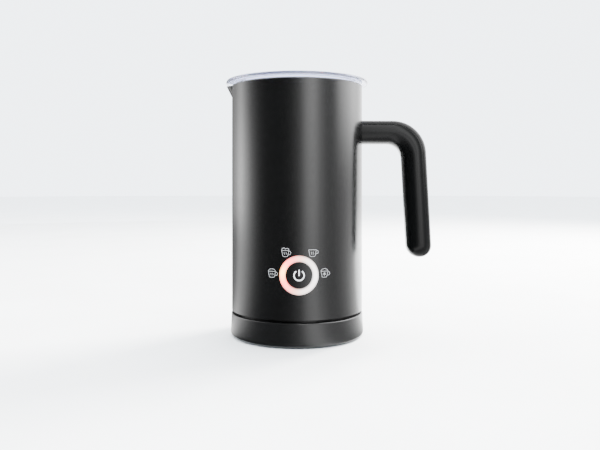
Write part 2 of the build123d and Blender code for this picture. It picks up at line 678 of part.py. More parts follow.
with BuildPart() as inner_frame:
    disc(SHELL_IN - 2.4, FRAME_LOW, FRAME_TOP)
    disc(6.2, FRAME_LOW, FRAME_TOP, mode=Mode.SUBTRACT)
    for point in post_points:
        disc(3.6, BOTTOM_FLOOR, FRAME_LOW, point)
    bored(LONG_SCREW_R, post_points, BOTTOM_FLOOR, BOTTOM_FLOOR + 10)
    bored(LONG_SCREW_R + 0.15, motor_screw_points, FRAME_LOW, FRAME_TOP)
    bored(2 * TERMINAL_R, element_ends, FRAME_LOW, FRAME_TOP)
    bored(6.5, [(0, ELEMENT_RING)], FRAME_LOW, FRAME_TOP)
    with BuildSketch(Plane.XY.offset(FRAME_LOW)):
        with PolarLocations(24, 3, start_angle=150):
            SlotOverall(16, 6)
    extrude(amount=FRAME_TOP - FRAME_LOW, mode=Mode.SUBTRACT)

with BuildPart() as motor_can:
    disc(CAN_R, CAN_JOINT, FRAME_LOW)
    disc(CAN_R - CAN_T, CAN_JOINT, CAN_CEILING, mode=Mode.SUBTRACT)
    disc(BEARING_R + 1.5, CAN_CEILING, NOSE_TOP)
    disc(BEARING_R, CAN_CEILING, NOSE_TOP, mode=Mode.SUBTRACT)
    bored(LONG_SCREW_R, motor_screw_points, CAN_CEILING, FRAME_LOW)

with BuildPart() as motor_end_cap:
    disc(CAN_R, CAN_LOW, CAN_JOINT)
    disc(CAN_R - CAN_T - 0.1, CAN_JOINT, CAN_JOINT + 2)
    disc(BEARING_R, CAN_LOW + 1.0, CAN_JOINT + 2, mode=Mode.SUBTRACT)
    for x in (-8, 8):
        block((3.0, 0.8, 5.0), (x, 0, CAN_LOW - 2.5))

with BuildPart() as motor_bearings:
    washer(SHAFT_R + FIT, BEARING_R, CAN_LOW + 1.2, CAN_JOINT + 2)
    washer(SHAFT_R + FIT, BEARING_R, CAN_CEILING, NOSE_TOP)

with BuildPart() as field_magnets:
    tube(CAN_R - CAN_T - 2.2, CAN_R - CAN_T, FIELD_LOW, FIELD_TOP)
    block((5, 40, 20), (0, 0, (FIELD_LOW + FIELD_TOP) / 2), mode=Mode.SUBTRACT)

with BuildPart() as motor_screws:
    for point in motor_screw_points:
        disc(2.4, FRAME_TOP, FRAME_TOP + 1.2, point)
        disc(LONG_SCREW_R, FRAME_LOW - 2, FRAME_TOP, point)

with BuildPart() as motor_shaft:
    disc(SHAFT_R, CAN_LOW + 1.4, SHAFT_TOP)

with BuildPart() as motor_armature:
    disc(ARMATURE_R, ARMATURE_LOW, ARMATURE_TOP)
    with PolarLocations(ARMATURE_R, 5):
        with Locations((0, 0, ARMATURE_Z)):
            Box(7, 1.6, 14, mode=Mode.SUBTRACT)
    disc(COMMUTATOR_R, COMMUTATOR_LOW, ARMATURE_LOW)
    disc(SHAFT_R, COMMUTATOR_LOW, ARMATURE_TOP, mode=Mode.SUBTRACT)

CARRIER_LOW, CARRIER_TOP = 78.4, 86.4
DRIVE_MAGNET_R, DRIVE_MAGNET_LOW = 3.6, 83.0
with BuildPart() as magnet_carrier:
    disc(17.0, CARRIER_LOW, CARRIER_TOP)
    fillet(magnet_carrier.edges().filter_by(GeomType.CIRCLE), 0.8)
    disc(4.6, FRAME_TOP + 0.6, CARRIER_LOW)
    disc(SHAFT_R, FRAME_TOP, SHAFT_TOP, mode=Mode.SUBTRACT)
    bored(DRIVE_MAGNET_R, magnet_points, DRIVE_MAGNET_LOW, CARRIER_TOP)

with BuildPart() as drive_magnets:
    for point in magnet_points:
        disc(DRIVE_MAGNET_R, DRIVE_MAGNET_LOW, CARRIER_TOP, point)

# ================================================================ electronics
BOARD_TOP = BOARD_LOW + BOARD_T

with BuildPart() as power_board:
    disc(35.5, BOARD_LOW, BOARD_TOP)
    block((100, 20, 10), (0, -42.5, BOARD_LOW), mode=Mode.SUBTRACT)
    bored(SCREW_R + 0.1, standoff_points, BOARD_LOW, BOARD_TOP)

with BuildPart() as board_screws:
    for point in standoff_points:
        disc(2.5, BOARD_TOP, BOARD_TOP + 1.6, point)
        disc(SCREW_R, BOARD_LOW, BOARD_TOP, point)

with BuildPart() as relay:
    block((12, 18, 15), (-24, 4, BOARD_TOP + 7.5))
    chamfer(relay.edges(), 0.5)

with BuildPart() as filter_capacitor:
    block((7.5, 18, 13.5), (20, 10, BOARD_TOP + 6.75))
    fillet(filter_capacitor.edges().filter_by(Axis.Z), 1.0)

with BuildPart() as supply_transformer:
    block((15, 13, 10), (24, -9, BOARD_TOP + 5))
    block((11, 15, 4), (24, -9, BOARD_TOP + 5))

PANEL_BACK, PANEL_FRONT = -35.0, -36.6
with BuildPart() as control_board:
    block((32, PANEL_BACK - PANEL_FRONT, 40), (0, (PANEL_BACK + PANEL_FRONT) / 2, 53.0))

SWITCH_FRONT = -39.9
PLUNGER_R = 1.6
PLUNGER_OUT = PRESS_TRAVEL + 0.1
with BuildPart() as press_switch:
    block((6, PANEL_FRONT - SWITCH_FRONT, 6), (0, (PANEL_FRONT + SWITCH_FRONT) / 2, BUTTON_Z))
    front_disc(PLUNGER_R + 0.15, SWITCH_FRONT - 1, SWITCH_FRONT + 2.1, mode=Mode.SUBTRACT)

LED_RING = 11.9
LED_ANGLES = (5, 62, 118, 175)  # one beside each drink symbol, round the ring
with BuildPart() as ring_leds:
    for angle in LED_ANGLES:
        x, z = LED_RING * cos(radians(angle)), LED_RING * sin(radians(angle))
        block((2.8, 1.0, 2.8), (x, PANEL_FRONT - 0.5, BUTTON_Z + z))

# ================================================================ button
CATCH_R = 10.4  # flange that keeps the button behind the ring
CATCH_FRONT, CATCH_BACK = -45.6, -44.6
BAR_FRONT = -52.0  # the button's bars start in front of the shell and are cut to its curve

with BuildPart() as button_housing:
    front_disc(17.0, -50, PANEL_FRONT)
    front_disc(RING_R + 0.1, -50, PANEL_FRONT, mode=Mode.SUBTRACT)
    disc(SHELL_IN - 0.1, 20, 80, mode=Mode.INTERSECT)

with BuildPart() as ring_bar:
    front_disc(RING_R, BAR_FRONT, -40.5)

with BuildPart() as light_ring:
    disc(BODY_R + RING_PROUD, 20, 80)
    add(ring_bar.part, mode=Mode.INTERSECT)
    front_disc(RING_IN_R, BAR_FRONT, -40, mode=Mode.SUBTRACT)
    front_disc(CATCH_R + 0.4, CATCH_FRONT - GAP, -40, mode=Mode.SUBTRACT)

with BuildPart() as button_bar:
    front_disc(BUTTON_R, BAR_FRONT, CATCH_BACK)
    front_disc(CATCH_R, CATCH_FRONT, CATCH_BACK)

with BuildPart() as button_cap:
    disc(BODY_R, 20, 80)
    add(button_bar.part, mode=Mode.INTERSECT)
    front_disc(BUTTON_R - 1.6, -48.4, CATCH_BACK, mode=Mode.SUBTRACT)
    front_disc(2.2, -48.5, SWITCH_FRONT - PLUNGER_OUT)

with BuildPart() as switch_plunger:
    front_disc(PLUNGER_R, SWITCH_FRONT - PLUNGER_OUT, SWITCH_FRONT + 0.7)

# ================================================================ write every piece
pieces = {
    "base_top_cover": base_top_cover,
    "base_bottom_cover": base_bottom_cover,
    "anti_slip_ring": anti_slip_ring,
    "base_screws": base_screws,
    "base_coupler": base_coupler,
    "base_contacts": base_contacts,
    "cord_gland": cord_gland,
    "cord_clamp": cord_clamp,
    "clamp_screws": clamp_screws,
    "jug_coupler": jug_coupler,
    "coupler_contacts": coupler_contacts,
    "jug_bottom_cover": jug_bottom_cover,
    "coupler_retainer": coupler_retainer,
    "bottom_screws": bottom_screws,
    "outer_shell": outer_shell,
    "inner_pot": inner_pot,
    "rim_gasket": rim_gasket,
    "spindle_pin": spindle_pin,
    "whisk_hub": whisk_hub,
    "whisk_magnets": whisk_magnets,
    "whisk_coil": whisk_coil,
    "stir_whisk": stir_whisk,
    "stir_whisk_magnets": stir_whisk_magnets,
    "lid": lid,
    "lid_seal": lid_seal,
    "handle_shell": handle_shell,
    "handle_cover": handle_cover,
    "handle_bracket": handle_bracket,
    "handle_screws": handle_screws,
    "heater_plate": heater_plate,
    "heater_element": heater_element,
    "overheat_thermostat": overheat_thermostat,
    "temperature_sensor": temperature_sensor,
    "sensor_spring": sensor_spring,
    "inner_frame": inner_frame,
    "motor_can": motor_can,
    "motor_end_cap": motor_end_cap,
    "motor_bearings": motor_bearings,
    "field_magnets": field_magnets,
    "motor_screws": motor_screws,
    "motor_shaft": motor_shaft,
    "motor_armature": motor_armature,
    "magnet_carrier": magnet_carrier,
    "drive_magnets": drive_magnets,
    "power_board": power_board,
    "board_screws": board_screws,
    "relay": relay,
    "filter_capacitor": filter_capacitor,
    "supply_transformer": supply_transformer,
    "control_board": control_board,
    "press_switch": press_switch,
    "ring_leds": ring_leds,
    "button_housing": button_housing,
    "light_ring": light_ring,
    "button_cap": button_cap,
    "switch_plunger": switch_plunger,
}
for name, piece in pieces.items():
    piece.part.label = name
    export_step(piece.part, f"parts/{name}.step")
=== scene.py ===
import json
import math

import bmesh
import bpy
from mathutils import Matrix, Vector


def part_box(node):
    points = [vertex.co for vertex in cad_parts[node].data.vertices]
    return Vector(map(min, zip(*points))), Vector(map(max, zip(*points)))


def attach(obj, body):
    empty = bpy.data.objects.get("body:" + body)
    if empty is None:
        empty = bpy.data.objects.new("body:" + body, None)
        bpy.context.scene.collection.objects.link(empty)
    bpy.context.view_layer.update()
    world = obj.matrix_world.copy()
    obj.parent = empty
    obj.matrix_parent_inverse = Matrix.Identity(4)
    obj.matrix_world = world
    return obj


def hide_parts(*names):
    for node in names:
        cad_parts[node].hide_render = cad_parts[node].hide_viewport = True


# Looks of the milk frother. Metres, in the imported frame: the origin is on the jug's axis at table
# level, the button faces -Y and the handle points to +X.

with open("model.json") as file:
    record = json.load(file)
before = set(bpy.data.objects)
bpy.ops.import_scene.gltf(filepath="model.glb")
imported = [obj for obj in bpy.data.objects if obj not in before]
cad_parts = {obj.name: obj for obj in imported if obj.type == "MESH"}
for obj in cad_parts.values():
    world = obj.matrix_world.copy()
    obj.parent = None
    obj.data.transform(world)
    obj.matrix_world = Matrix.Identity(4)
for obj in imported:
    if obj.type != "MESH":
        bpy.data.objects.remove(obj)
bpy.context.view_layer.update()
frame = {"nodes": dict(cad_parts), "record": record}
nodes = frame["nodes"]
MM = 0.001


# ---------------------------------------------------------------- material tools
class Surface:
    """A node material under construction, with its Principled shader and the object's own coordinates."""

    def __init__(self, name, colour, roughness, **sockets):
        self.material = bpy.data.materials.new(name)
        self.material.use_nodes = True
        self.tree = self.material.node_tree
        self.shader = self.tree.nodes["Principled BSDF"]
        self.colour, self.roughness = colour, roughness
        self.shader.inputs["Base Color"].default_value = (*colour, 1)
        self.shader.inputs["Roughness"].default_value = roughness
        for socket, value in sockets.items():
            self.shader.inputs[socket.replace("_", " ")].default_value = value
        self.coordinates = self.node("ShaderNodeTexCoord").outputs["Object"]

    def node(self, kind, **values):
        """A new node, with values for its settings or its input sockets."""
        made = self.tree.nodes.new(kind)
        for key, value in values.items():
            if hasattr(made, key):
                setattr(made, key, value)
            else:
                made.inputs[key.replace("_", " ")].default_value = value
        return made

    def link(self, output, target):
        """Join two sockets. Like the calls below that finish a pattern, it returns the surface itself."""
        self.tree.links.new(output, target)
        return self

    def maths(self, operation, first, second=None):
        """A Math node's result; the second value is a socket or a number."""
        made = self.node("ShaderNodeMath", operation=operation)
        self.link(first, made.inputs[0])
        if isinstance(second, bpy.types.NodeSocket):
            self.link(second, made.inputs[1])
        elif second is not None:
            made.inputs[1].default_value = second
        return made.outputs[0]

    def noise(self, scale, detail, stretch=(1, 1, 1)):
        """Noise in the object's coordinates: scale is in waves per metre before the stretch."""
        mapping = self.node("ShaderNodeMapping")
        mapping.inputs["Scale"].default_value = stretch
        self.link(self.coordinates, mapping.inputs["Vector"])
        made = self.node("ShaderNodeTexNoise", Scale=scale, Detail=detail)
        self.link(mapping.outputs["Vector"], made.inputs["Vector"])
        return made.outputs["Fac"]

    def ranged(self, value, low, high, start=0.3, end=0.7):
        """The value's range from start to end, spread over low to high."""
        made = self.node("ShaderNodeMapRange", From_Min=start, From_Max=end, To_Min=low, To_Max=high)
        self.link(value, made.inputs["Value"])
        return made.outputs["Result"]

    def blended(self, value, first, second):
        """Two colours mixed by a value."""
        made = self.node("ShaderNodeMix", data_type="RGBA")
        for socket, tone in zip([s for s in made.inputs if s.type == "RGBA"], (first, second)):
            socket.default_value = (*tone, 1)
        self.link(value, made.inputs["Factor"])
        return [s for s in made.outputs if s.type == "RGBA"][0]

    def mottle(self, scale, amount, stretch=(1, 1, 1)):
        """The base colour varies by a share of itself."""
        dark = tuple(c * (1 - amount) for c in self.colour)
        light = tuple(min(c * (1 + amount), 1) for c in self.colour)
        pattern = self.ranged(self.noise(scale, 3.0, stretch), 0, 1)
        return self.link(self.blended(pattern, dark, light), self.shader.inputs["Base Color"])

    def scuff(self, scale, amount, stretch=(1, 1, 1)):
        """The roughness varies up and down."""
        pattern = self.noise(scale, 5.0, stretch)
        low, high = max(self.roughness - amount, 0.02), self.roughness + amount
        return self.link(self.ranged(pattern, low, high), self.shader.inputs["Roughness"])

    def bump(self, height, depth, strength):
        """A height pattern, depth in metres."""
        made = self.node("ShaderNodeBump", Strength=strength, Distance=depth)
        self.link(height, made.inputs["Height"])
        return self.link(made.outputs["Normal"], self.shader.inputs["Normal"])

    def grain(self, scale, depth, strength, stretch=(1, 1, 1), detail=3.0):
        """A bump from noise."""
        return self.bump(self.noise(scale, detail, stretch), depth, strength)


def plastic(name, colour, roughness, grain=2600, depth=0.00002, mottle=0.12, sheen=0.5, uneven=0.05):
    """Moulded plastic or rubber: fine spark-eroded grain, a little uneven gloss."""
    made = Surface(name, colour, roughness, IOR=1.5, Specular_IOR_Level=sheen)
    return made.mottle(60, mottle).scuff(240, uneven).grain(grain, depth, 0.6).material


def metal(name, colour, roughness, stretch=(1, 1, 1), depth=0.00001):
    """Bare metal: stretched scratches, uneven gloss."""
    made = Surface(name, colour, roughness, Metallic=1.0)
    made.mottle(300, 0.08, stretch).scuff(900, 0.08, stretch)
    return made.grain(1400, depth, 0.5, stretch).material


# ---------------------------------------------------------------- materials of the visible pieces
def shell_paint():
    """Satin black paint on steel: faint orange peel, and a fine grain that softens reflections."""
    made = Surface("shell_paint", (0.0012, 0.0013, 0.0014), 0.24, IOR=1.5)
    made.mottle(35, 0.15).scuff(420, 0.03)
    return made.grain(420, 0.000008, 0.3, detail=2.0).material


def non_stick():
    """Dark non-stick coating with fine light speckles."""
    made = Surface("non_stick", (0.035, 0.035, 0.037), 0.38, IOR=1.5)
    specks = made.node("ShaderNodeTexVoronoi", Scale=900)
    made.link(made.coordinates, specks.inputs["Vector"])
    light = made.ranged(specks.outputs["Distance"], 1, 0, 0.10, 0.22)
    made.link(made.blended(light, made.colour, (0.22, 0.22, 0.23)), made.shader.inputs["Base Color"])
    return made.scuff(500, 0.06).grain(3000, 0.00001, 0.5).material


def clear_lid():
    """Clear plastic with a lilac tint, faint moulding ripples and hairline scratches."""
    made = Surface("clear_lid", (0.54, 0.55, 0.72), 0.04, IOR=1.49, Transmission_Weight=0.93)
    made.mottle(30, 0.05).scuff(700, 0.04, (1, 6, 1))
    return made.grain(120, 0.00003, 0.25, detail=1.0).material


def silicone():
    """Milky translucent silicone."""
    made = Surface(
        "silicone", (0.72, 0.74, 0.78), 0.42, IOR=1.43, Subsurface_Weight=0.4, Subsurface_Scale=0.002
    )
    return made.mottle(90, 0.06).scuff(300, 0.06).grain(1800, 0.00001, 0.4).material


# The ring's light, from its brightest place (0) on the left to the far side (1), in linear colour
RING_GLOW = 14.0
RING_FADE = 0.12  # its share at the band's edges
RING_CORE = 0.4  # the share of the band's half width that is fully bright
RING_MIDDLE, RING_HALF = 0.0116, 0.0022  # the band's middle radius and half its width
RING_TURN = 0.17  # how far the brightest place lies above the ring's left, in radians
RING_TONES = (
    (0.00, (1.0, 0.43, 0.060)),
    (0.09, (0.88, 0.22, 0.040)),
    (0.20, (0.86, 0.025, 0.012)),
    (0.34, (0.48, 0.060, 0.045)),
    (0.48, (0.32, 0.14, 0.095)),
    (0.62, (0.27, 0.22, 0.20)),
    (1.00, (0.30, 0.285, 0.28)),
)


def light_guide(centre):
    """The lit ring: a milky light guide, brightest on the left where a coloured light shines behind it."""
    made = Surface("light_guide", (0.16, 0.155, 0.155), 0.35, IOR=1.5)
    parts = made.node("ShaderNodeSeparateXYZ")
    made.link(made.coordinates, parts.inputs["Vector"])
    across = made.maths("SUBTRACT", parts.outputs["X"], centre.x)
    up = made.maths("SUBTRACT", parts.outputs["Z"], centre.z)
    # the angle from the left-hand side, 0 to pi on either side of it
    angle = made.maths("ARCTAN2", up, made.maths("MULTIPLY", across, -1))
    spread = made.maths("ABSOLUTE", made.maths("SUBTRACT", angle, RING_TURN))
    share = made.ranged(spread, 0, 1, 0, math.pi)
    ramp = made.node("ShaderNodeValToRGB")
    made.link(share, ramp.inputs["Fac"])
    stops = ramp.color_ramp.elements
    while len(stops) < len(RING_TONES):
        stops.new(0.5)
    for stop, (place, tone) in zip(stops, RING_TONES):
        stop.position = place
        stop.color = (*tone, 1)
    made.link(ramp.outputs["Color"], made.shader.inputs["Emission Color"])
    # the light fades towards the band's two edges
    flat = made.node("ShaderNodeCombineXYZ")
    made.link(across, flat.inputs["X"])
    made.link(up, flat.inputs["Y"])
    reach = made.node("ShaderNodeVectorMath", operation="LENGTH")
    made.link(flat.outputs[0], reach.inputs[0])
    aside = made.maths("ABSOLUTE", made.maths("SUBTRACT", reach.outputs["Value"], RING_MIDDLE))
    strength = made.ranged(aside, RING_GLOW, RING_GLOW * RING_FADE, RING_CORE * RING_HALF, RING_HALF)
    made.link(strength, made.shader.inputs["Emission Strength"])
    made.scuff(400, 0.05)
    return made.grain(1500, 0.00001, 0.4).material


def circuit_board():
    """Green solder mask over darker tracks, in a brick pattern with lighter green joints."""
    made = Surface("circuit_board", (0.015, 0.11, 0.04), 0.35, IOR=1.5)
    tracks = made.node("ShaderNodeTexBrick", Scale=180)
    tracks.inputs["Color1"].default_value = (0.012, 0.09, 0.03, 1)
    tracks.inputs["Color2"].default_value = (0.02, 0.15, 0.05, 1)
    tracks.inputs["Mortar"].default_value = (0.03, 0.19, 0.07, 1)
    made.link(made.coordinates, tracks.inputs["Vector"])
    made.link(tracks.outputs["Color"], made.shader.inputs["Base Color"])
    return made.scuff(500, 0.06).bump(tracks.outputs["Fac"], 0.00003, 0.5).material


def print_ink(name, shade):
    """White screen-printed ink, slightly uneven in cover."""
    made = Surface(name, (shade, shade, shade), 0.5, IOR=1.5)
    return made.mottle(2500, 0.10).scuff(1500, 0.08).grain(6000, 0.000004, 0.4).material


ring_low, ring_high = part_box("light_ring")
ring_centre = (ring_low + ring_high) / 2

SMOOTH = {"grain": 200, "depth": 0.000001, "mottle": 0.05}  # moulded pieces without a visible texture
RUBBER = {"grain": 1800, "depth": 0.00004}

finishes = {
    "shell_paint": shell_paint(),
    "rim_steel": non_stick(),
    "handle_plastic": plastic(
        "handle_plastic", (0.0010, 0.0011, 0.0012), 0.22, sheen=0.18, uneven=0.005, **SMOOTH
    ),
    "handle_cover_plastic": plastic(
        "handle_cover_plastic", (0.0010, 0.0011, 0.0012), 0.24, sheen=0.05, uneven=0.005, **SMOOTH
    ),
    "base_plastic": plastic("base_plastic", (0.0022, 0.0023, 0.0024), 0.27, uneven=0.003, **SMOOTH),
    "bottom_plastic": plastic("bottom_plastic", (0.012, 0.012, 0.0125), 0.50),
    "coupler_plastic": plastic("coupler_plastic", (0.011, 0.011, 0.0115), 0.42),
    "foot_rubber": plastic("foot_rubber", (0.020, 0.020, 0.021), 0.75, grain=1800, depth=0.00005),
    "gland_rubber": plastic("gland_rubber", (0.012, 0.012, 0.012), 0.65, **RUBBER),
    "screw_steel": metal("screw_steel", (0.56, 0.56, 0.57), 0.32),
    "contact_brass": metal("contact_brass", (0.80, 0.56, 0.22), 0.26),
    "lid_clear": clear_lid(),
    "lid_silicone": silicone(),
    "gasket_rubber": plastic("gasket_rubber", (0.016, 0.016, 0.016), 0.70, **RUBBER),
    "pin_steel": metal("pin_steel", (0.62, 0.62, 0.63), 0.18, (1, 1, 12)),
    "whisk_plastic": plastic("whisk_plastic", (0.013, 0.013, 0.014), 0.40),
    "whisk_steel": metal("whisk_steel", (0.66, 0.66, 0.67), 0.20),
    "magnet": metal("magnet", (0.42, 0.42, 0.43), 0.28),
    "bracket_steel": metal("bracket_steel", (0.55, 0.55, 0.56), 0.38, (1, 8, 1)),
    "heater_aluminium": metal("heater_aluminium", (0.72, 0.72, 0.73), 0.45),
    "element_sheath": metal("element_sheath", (0.52, 0.51, 0.50), 0.42),
    "thermostat_body": plastic("thermostat_body", (0.72, 0.69, 0.60), 0.60, grain=1500),
    "frame_plastic": plastic("frame_plastic", (0.55, 0.54, 0.50), 0.48),
    "motor_steel": metal("motor_steel", (0.48, 0.48, 0.49), 0.33, (1, 1, 9)),
    "motor_plastic": plastic("motor_plastic", (0.016, 0.016, 0.017), 0.45),
    "bearing_bronze": metal("bearing_bronze", (0.48, 0.30, 0.13), 0.45),
    "field_magnet": plastic("field_magnet", (0.030, 0.030, 0.031), 0.60, grain=1500),
    "armature_core": metal("armature_core", (0.30, 0.28, 0.27), 0.50, (1, 1, 40)),
    "circuit_board": circuit_board(),
    "relay_plastic": plastic("relay_plastic", (0.015, 0.035, 0.16), 0.38),
    "capacitor_plastic": plastic("capacitor_plastic", (0.46, 0.33, 0.03), 0.35),
    "transformer_core": metal("transformer_core", (0.20, 0.12, 0.07), 0.50, (40, 1, 1)),
    "switch_plastic": plastic("switch_plastic", (0.015, 0.015, 0.016), 0.45),
    "led_plastic": plastic("led_plastic", (0.80, 0.80, 0.76), 0.30),
    "housing_plastic": plastic("housing_plastic", (0.62, 0.62, 0.60), 0.45),
    "light_guide": light_guide(ring_centre),
    "button_plastic": plastic(
        "button_plastic", (0.0016, 0.0017, 0.0018), 0.26, sheen=0.40, uneven=0.005, **SMOOTH
    ),
    "plunger_plastic": plastic("plunger_plastic", (0.16, 0.03, 0.012), 0.45),
}

slot_of = {row["node"]: row["material_slot"] for row in frame["record"]["subparts"]}
for name, node in nodes.items():
    node.data.materials.clear()
    node.data.materials.append(finishes[slot_of[name]])


# ---------------------------------------------------------------- printed symbols
SHELL_R = (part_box("outer_shell")[1].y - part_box("outer_shell")[0].y) / 2
PRINT_T = 0.04 * MM  # how far the ink stands up
PRINT_SINK = 0.06 * MM  # how far its underside lies in the paint
STEP = 0.35 * MM  # between the points of a stroke


def arc(centre, radius, start, end, squeeze=1.0):
    """Points along an arc, in millimetres and degrees; squeeze scales its height."""
    count = max(int(abs(end - start) / 12), 3)
    angles = [math.radians(start + (end - start) * k / count) for k in range(count + 1)]
    return [(centre[0] + radius * math.cos(a), centre[1] + radius * squeeze * math.sin(a)) for a in angles]


def evenly(points):
    """The same line with a point at least every STEP, so that it follows the cylinder."""
    out = [points[0]]
    for a, b in zip(points, points[1:]):
        count = max(int((b - a).length / STEP), 1)
        out += [a.lerp(b, (k + 1) / count) for k in range(count)]
    return out


def on_cylinder(x, z, lift):
    """The point of the jug's front that shows at x and z, lifted off the surface."""
    radius = SHELL_R + lift
    return (x, -math.sqrt(radius**2 - x**2), z)


def add_stroke(mesh, line, width):
    """A raised ribbon along a line of points on the jug's front."""
    points = evenly([Vector(p) for p in line])
    rings = []
    for k, p in enumerate(points):
        ahead, behind = points[min(k + 1, len(points) - 1)], points[max(k - 1, 0)]
        along = (ahead - behind).normalized()
        side = Vector((-along.y, along.x)) * width / 2
        corners = [
            (p + side, -PRINT_SINK),
            (p + side, PRINT_T),
            (p - side, PRINT_T),
            (p - side, -PRINT_SINK),
        ]
        rings.append([mesh.verts.new(on_cylinder(q.x, q.y, lift)) for q, lift in corners])
    for a, b in zip(rings, rings[1:]):
        for k in range(4):
            mesh.faces.new((a[k], a[(k + 1) % 4], b[(k + 1) % 4], b[k]))
    mesh.faces.new(rings[0][::-1])
    mesh.faces.new(rings[-1])


def printed(name, lines, centre, width, body, ink):
    """A symbol of strokes, given in millimetres about its centre on the jug's front."""
    mesh = bmesh.new()
    for line in lines:
        add_stroke(mesh, [(centre[0] + u * MM, centre[1] + v * MM) for u, v in line], width)
    bmesh.ops.recalc_face_normals(mesh, faces=mesh.faces)
    data = bpy.data.meshes.new(name)
    mesh.to_mesh(data)
    mesh.free()
    data.materials.append(ink)
    piece = bpy.data.objects.new(name, data)
    bpy.context.collection.objects.link(piece)
    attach(piece, body)


POWER_STROKE = 0.85 * MM
ICON_STROKE = 0.26 * MM
power_ink = print_ink("power_ink", 0.55)
icon_ink = print_ink("icon_ink", 0.27)
button_low, button_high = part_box("button_cap")
button_z = (button_low.z + button_high.z) / 2

power_symbol = [arc((0, 0), 3.55, 125, 415), [(0, 3.9), (0, -0.3)]]
printed("power_symbol", power_symbol, (0, button_z), POWER_STROKE, "power_button", power_ink)


def cup(top, half_top=2.5, half_low=1.6, low=-3.0, shift=-0.5):
    """A cup's outline from rim to rim, and its handle on the right."""
    side = [(shift - half_top, top), (shift - half_low - 0.25, low + 0.7), (shift - half_low + 0.3, low)]
    right = [(2 * shift - u, v) for u, v in reversed(side)]
    grip = arc((shift + half_top + 0.1, top - 1.6), 1.25, 80, -110)
    return [side + right, grip]


def waves(low=-1.5, high=0.1):
    """Two short rising waves of steam or foam inside the cup."""
    lines = []
    steps = (0, 0.5, 1, 1.5, 2)
    for u in (-1.15, 0.15):
        lines.append([(u + 0.22 * math.sin(t * math.pi), low + (high - low) * t / 2) for t in steps])
    return lines


def flake(centre=(-0.5, -0.7), radius=1.25):
    """A six-armed snow crystal."""
    arms = []
    for k in range(3):
        a = math.radians(90 + 60 * k)
        reach = (radius * math.cos(a), radius * math.sin(a))
        arms.append([(centre[0] + side * reach[0], centre[1] + side * reach[1]) for side in (-1, 1)])
    return arms


# Each drink's symbol: its strokes, and its place round the ring in degrees
low_foam = [arc((-0.5, 1.2), 2.5, 0, 180, 0.72), [(-3.0, 1.2), (2.0, 1.2)]]
high_foam = [
    arc((-1.6, 1.5), 1.4, 20, 200, 1.1),
    arc((0.7, 1.5), 1.35, -12, 130, 0.9),
    [(-3.0, 1.2), (2.0, 1.2)],
]
wide_cup = cup(2.2, 2.7, 1.7, -2.5) + [[(-3.2, 2.2), (2.2, 2.2)]]
icons = {
    "symbol_froth": (cup(1.2) + low_foam + waves(), 176.0),
    "symbol_thick_froth": (cup(1.2) + high_foam + waves(), 119.5),
    "symbol_warm_milk": (wide_cup + waves(low=-1.1, high=0.7), 57.5),
    "symbol_cold_froth": (cup(1.2) + low_foam + flake(), 4.0),
}
ICON_RING = 18.5 * MM  # from the button's middle to each symbol's
for name, (lines, angle) in icons.items():
    turn = math.radians(angle)
    spot = (ICON_RING * math.cos(turn), button_z + ICON_RING * math.sin(turn))
    printed(name, lines, spot, ICON_STROKE, "jug", icon_ink)


# ---------------------------------------------------------------- wound wire ring of the whisk
def wire_ring():
    """The froth whisk's ring: a spring of thin wire, closed in a circle, in place of the plain ring."""
    low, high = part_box("whisk_coil")
    outer, tube_r = high.x, (high.z - low.z) / 2
    wire_r, turns, per_turn = 0.26 * MM, 46, 14
    coil_r = tube_r - wire_r
    ring_r, middle = outer - tube_r, (high.z + low.z) / 2
    curve = bpy.data.curves.new("whisk_wire_ring", "CURVE")
    curve.dimensions = "3D"
    curve.bevel_depth = wire_r
    curve.bevel_resolution = 2
    spline = curve.splines.new("POLY")
    count = turns * per_turn
    spline.points.add(count - 1)
    for k in range(count):
        round_axis = 2 * math.pi * k / count
        round_tube = 2 * math.pi * k / per_turn
        reach = ring_r + coil_r * math.cos(round_tube)
        height = middle + coil_r * math.sin(round_tube)
        spline.points[k].co = (reach * math.cos(round_axis), reach * math.sin(round_axis), height, 1)
    spline.use_cyclic_u = True
    shape = bpy.data.objects.new("whisk_wire_shape", curve)
    data = bpy.data.meshes.new_from_object(shape)
    bpy.data.objects.remove(shape)
    bpy.data.curves.remove(curve)
    piece = bpy.data.objects.new("whisk_wire_ring", data)
    bpy.context.collection.objects.link(piece)
    for face in data.polygons:
        face.use_smooth = True
    data.materials.clear()
    data.materials.append(finishes["whisk_steel"])
    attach(piece, "whisk_ring")
    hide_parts("whisk_coil")


wire_ring()

# ---------------------------------------------------------------- camera
SENSOR = 36.0
LENS = 39.276
HORIZON_RISE = 0.0685  # how far the horizon lies above the picture's middle, as a share of its width
VIEW_TURN = math.radians(-1.9)  # the jug is seen from a little to its left
EYE = Vector((0.0023, -0.506, 0.1155))  # the camera's place before that turn
camera_data = bpy.data.cameras.new("camera")
camera_data.sensor_width = SENSOR
camera_data.lens = LENS
camera_data.shift_y = -HORIZON_RISE
camera_data.clip_start = 0.01
camera = bpy.data.objects.new("camera", camera_data)
camera.location = Matrix.Rotation(VIEW_TURN, 3, "Z") @ EYE
camera.rotation_euler = (math.radians(90), 0, VIEW_TURN)
bpy.context.collection.objects.link(camera)
bpy.context.scene.camera = camera


# ---------------------------------------------------------------- studio
def floor():
    """A large pale tabletop, slightly cloudy in colour."""
    made = Surface("tabletop", (0.83, 0.83, 0.825), 0.5, IOR=1.45, Specular_IOR_Level=0.06)
    cloud = made.ranged(made.noise(9, 5.0), 0, 1, 0.35, 0.75)
    made.link(made.blended(cloud, (0.85, 0.85, 0.845), (0.80, 0.80, 0.79)), made.shader.inputs["Base Color"])
    made.scuff(60, 0.04)
    bpy.ops.mesh.primitive_circle_add(vertices=96, radius=6.0, fill_type="NGON", location=(0, 0, 0))
    table = bpy.context.object
    table.name = "tabletop"
    table.data.materials.append(made.material)


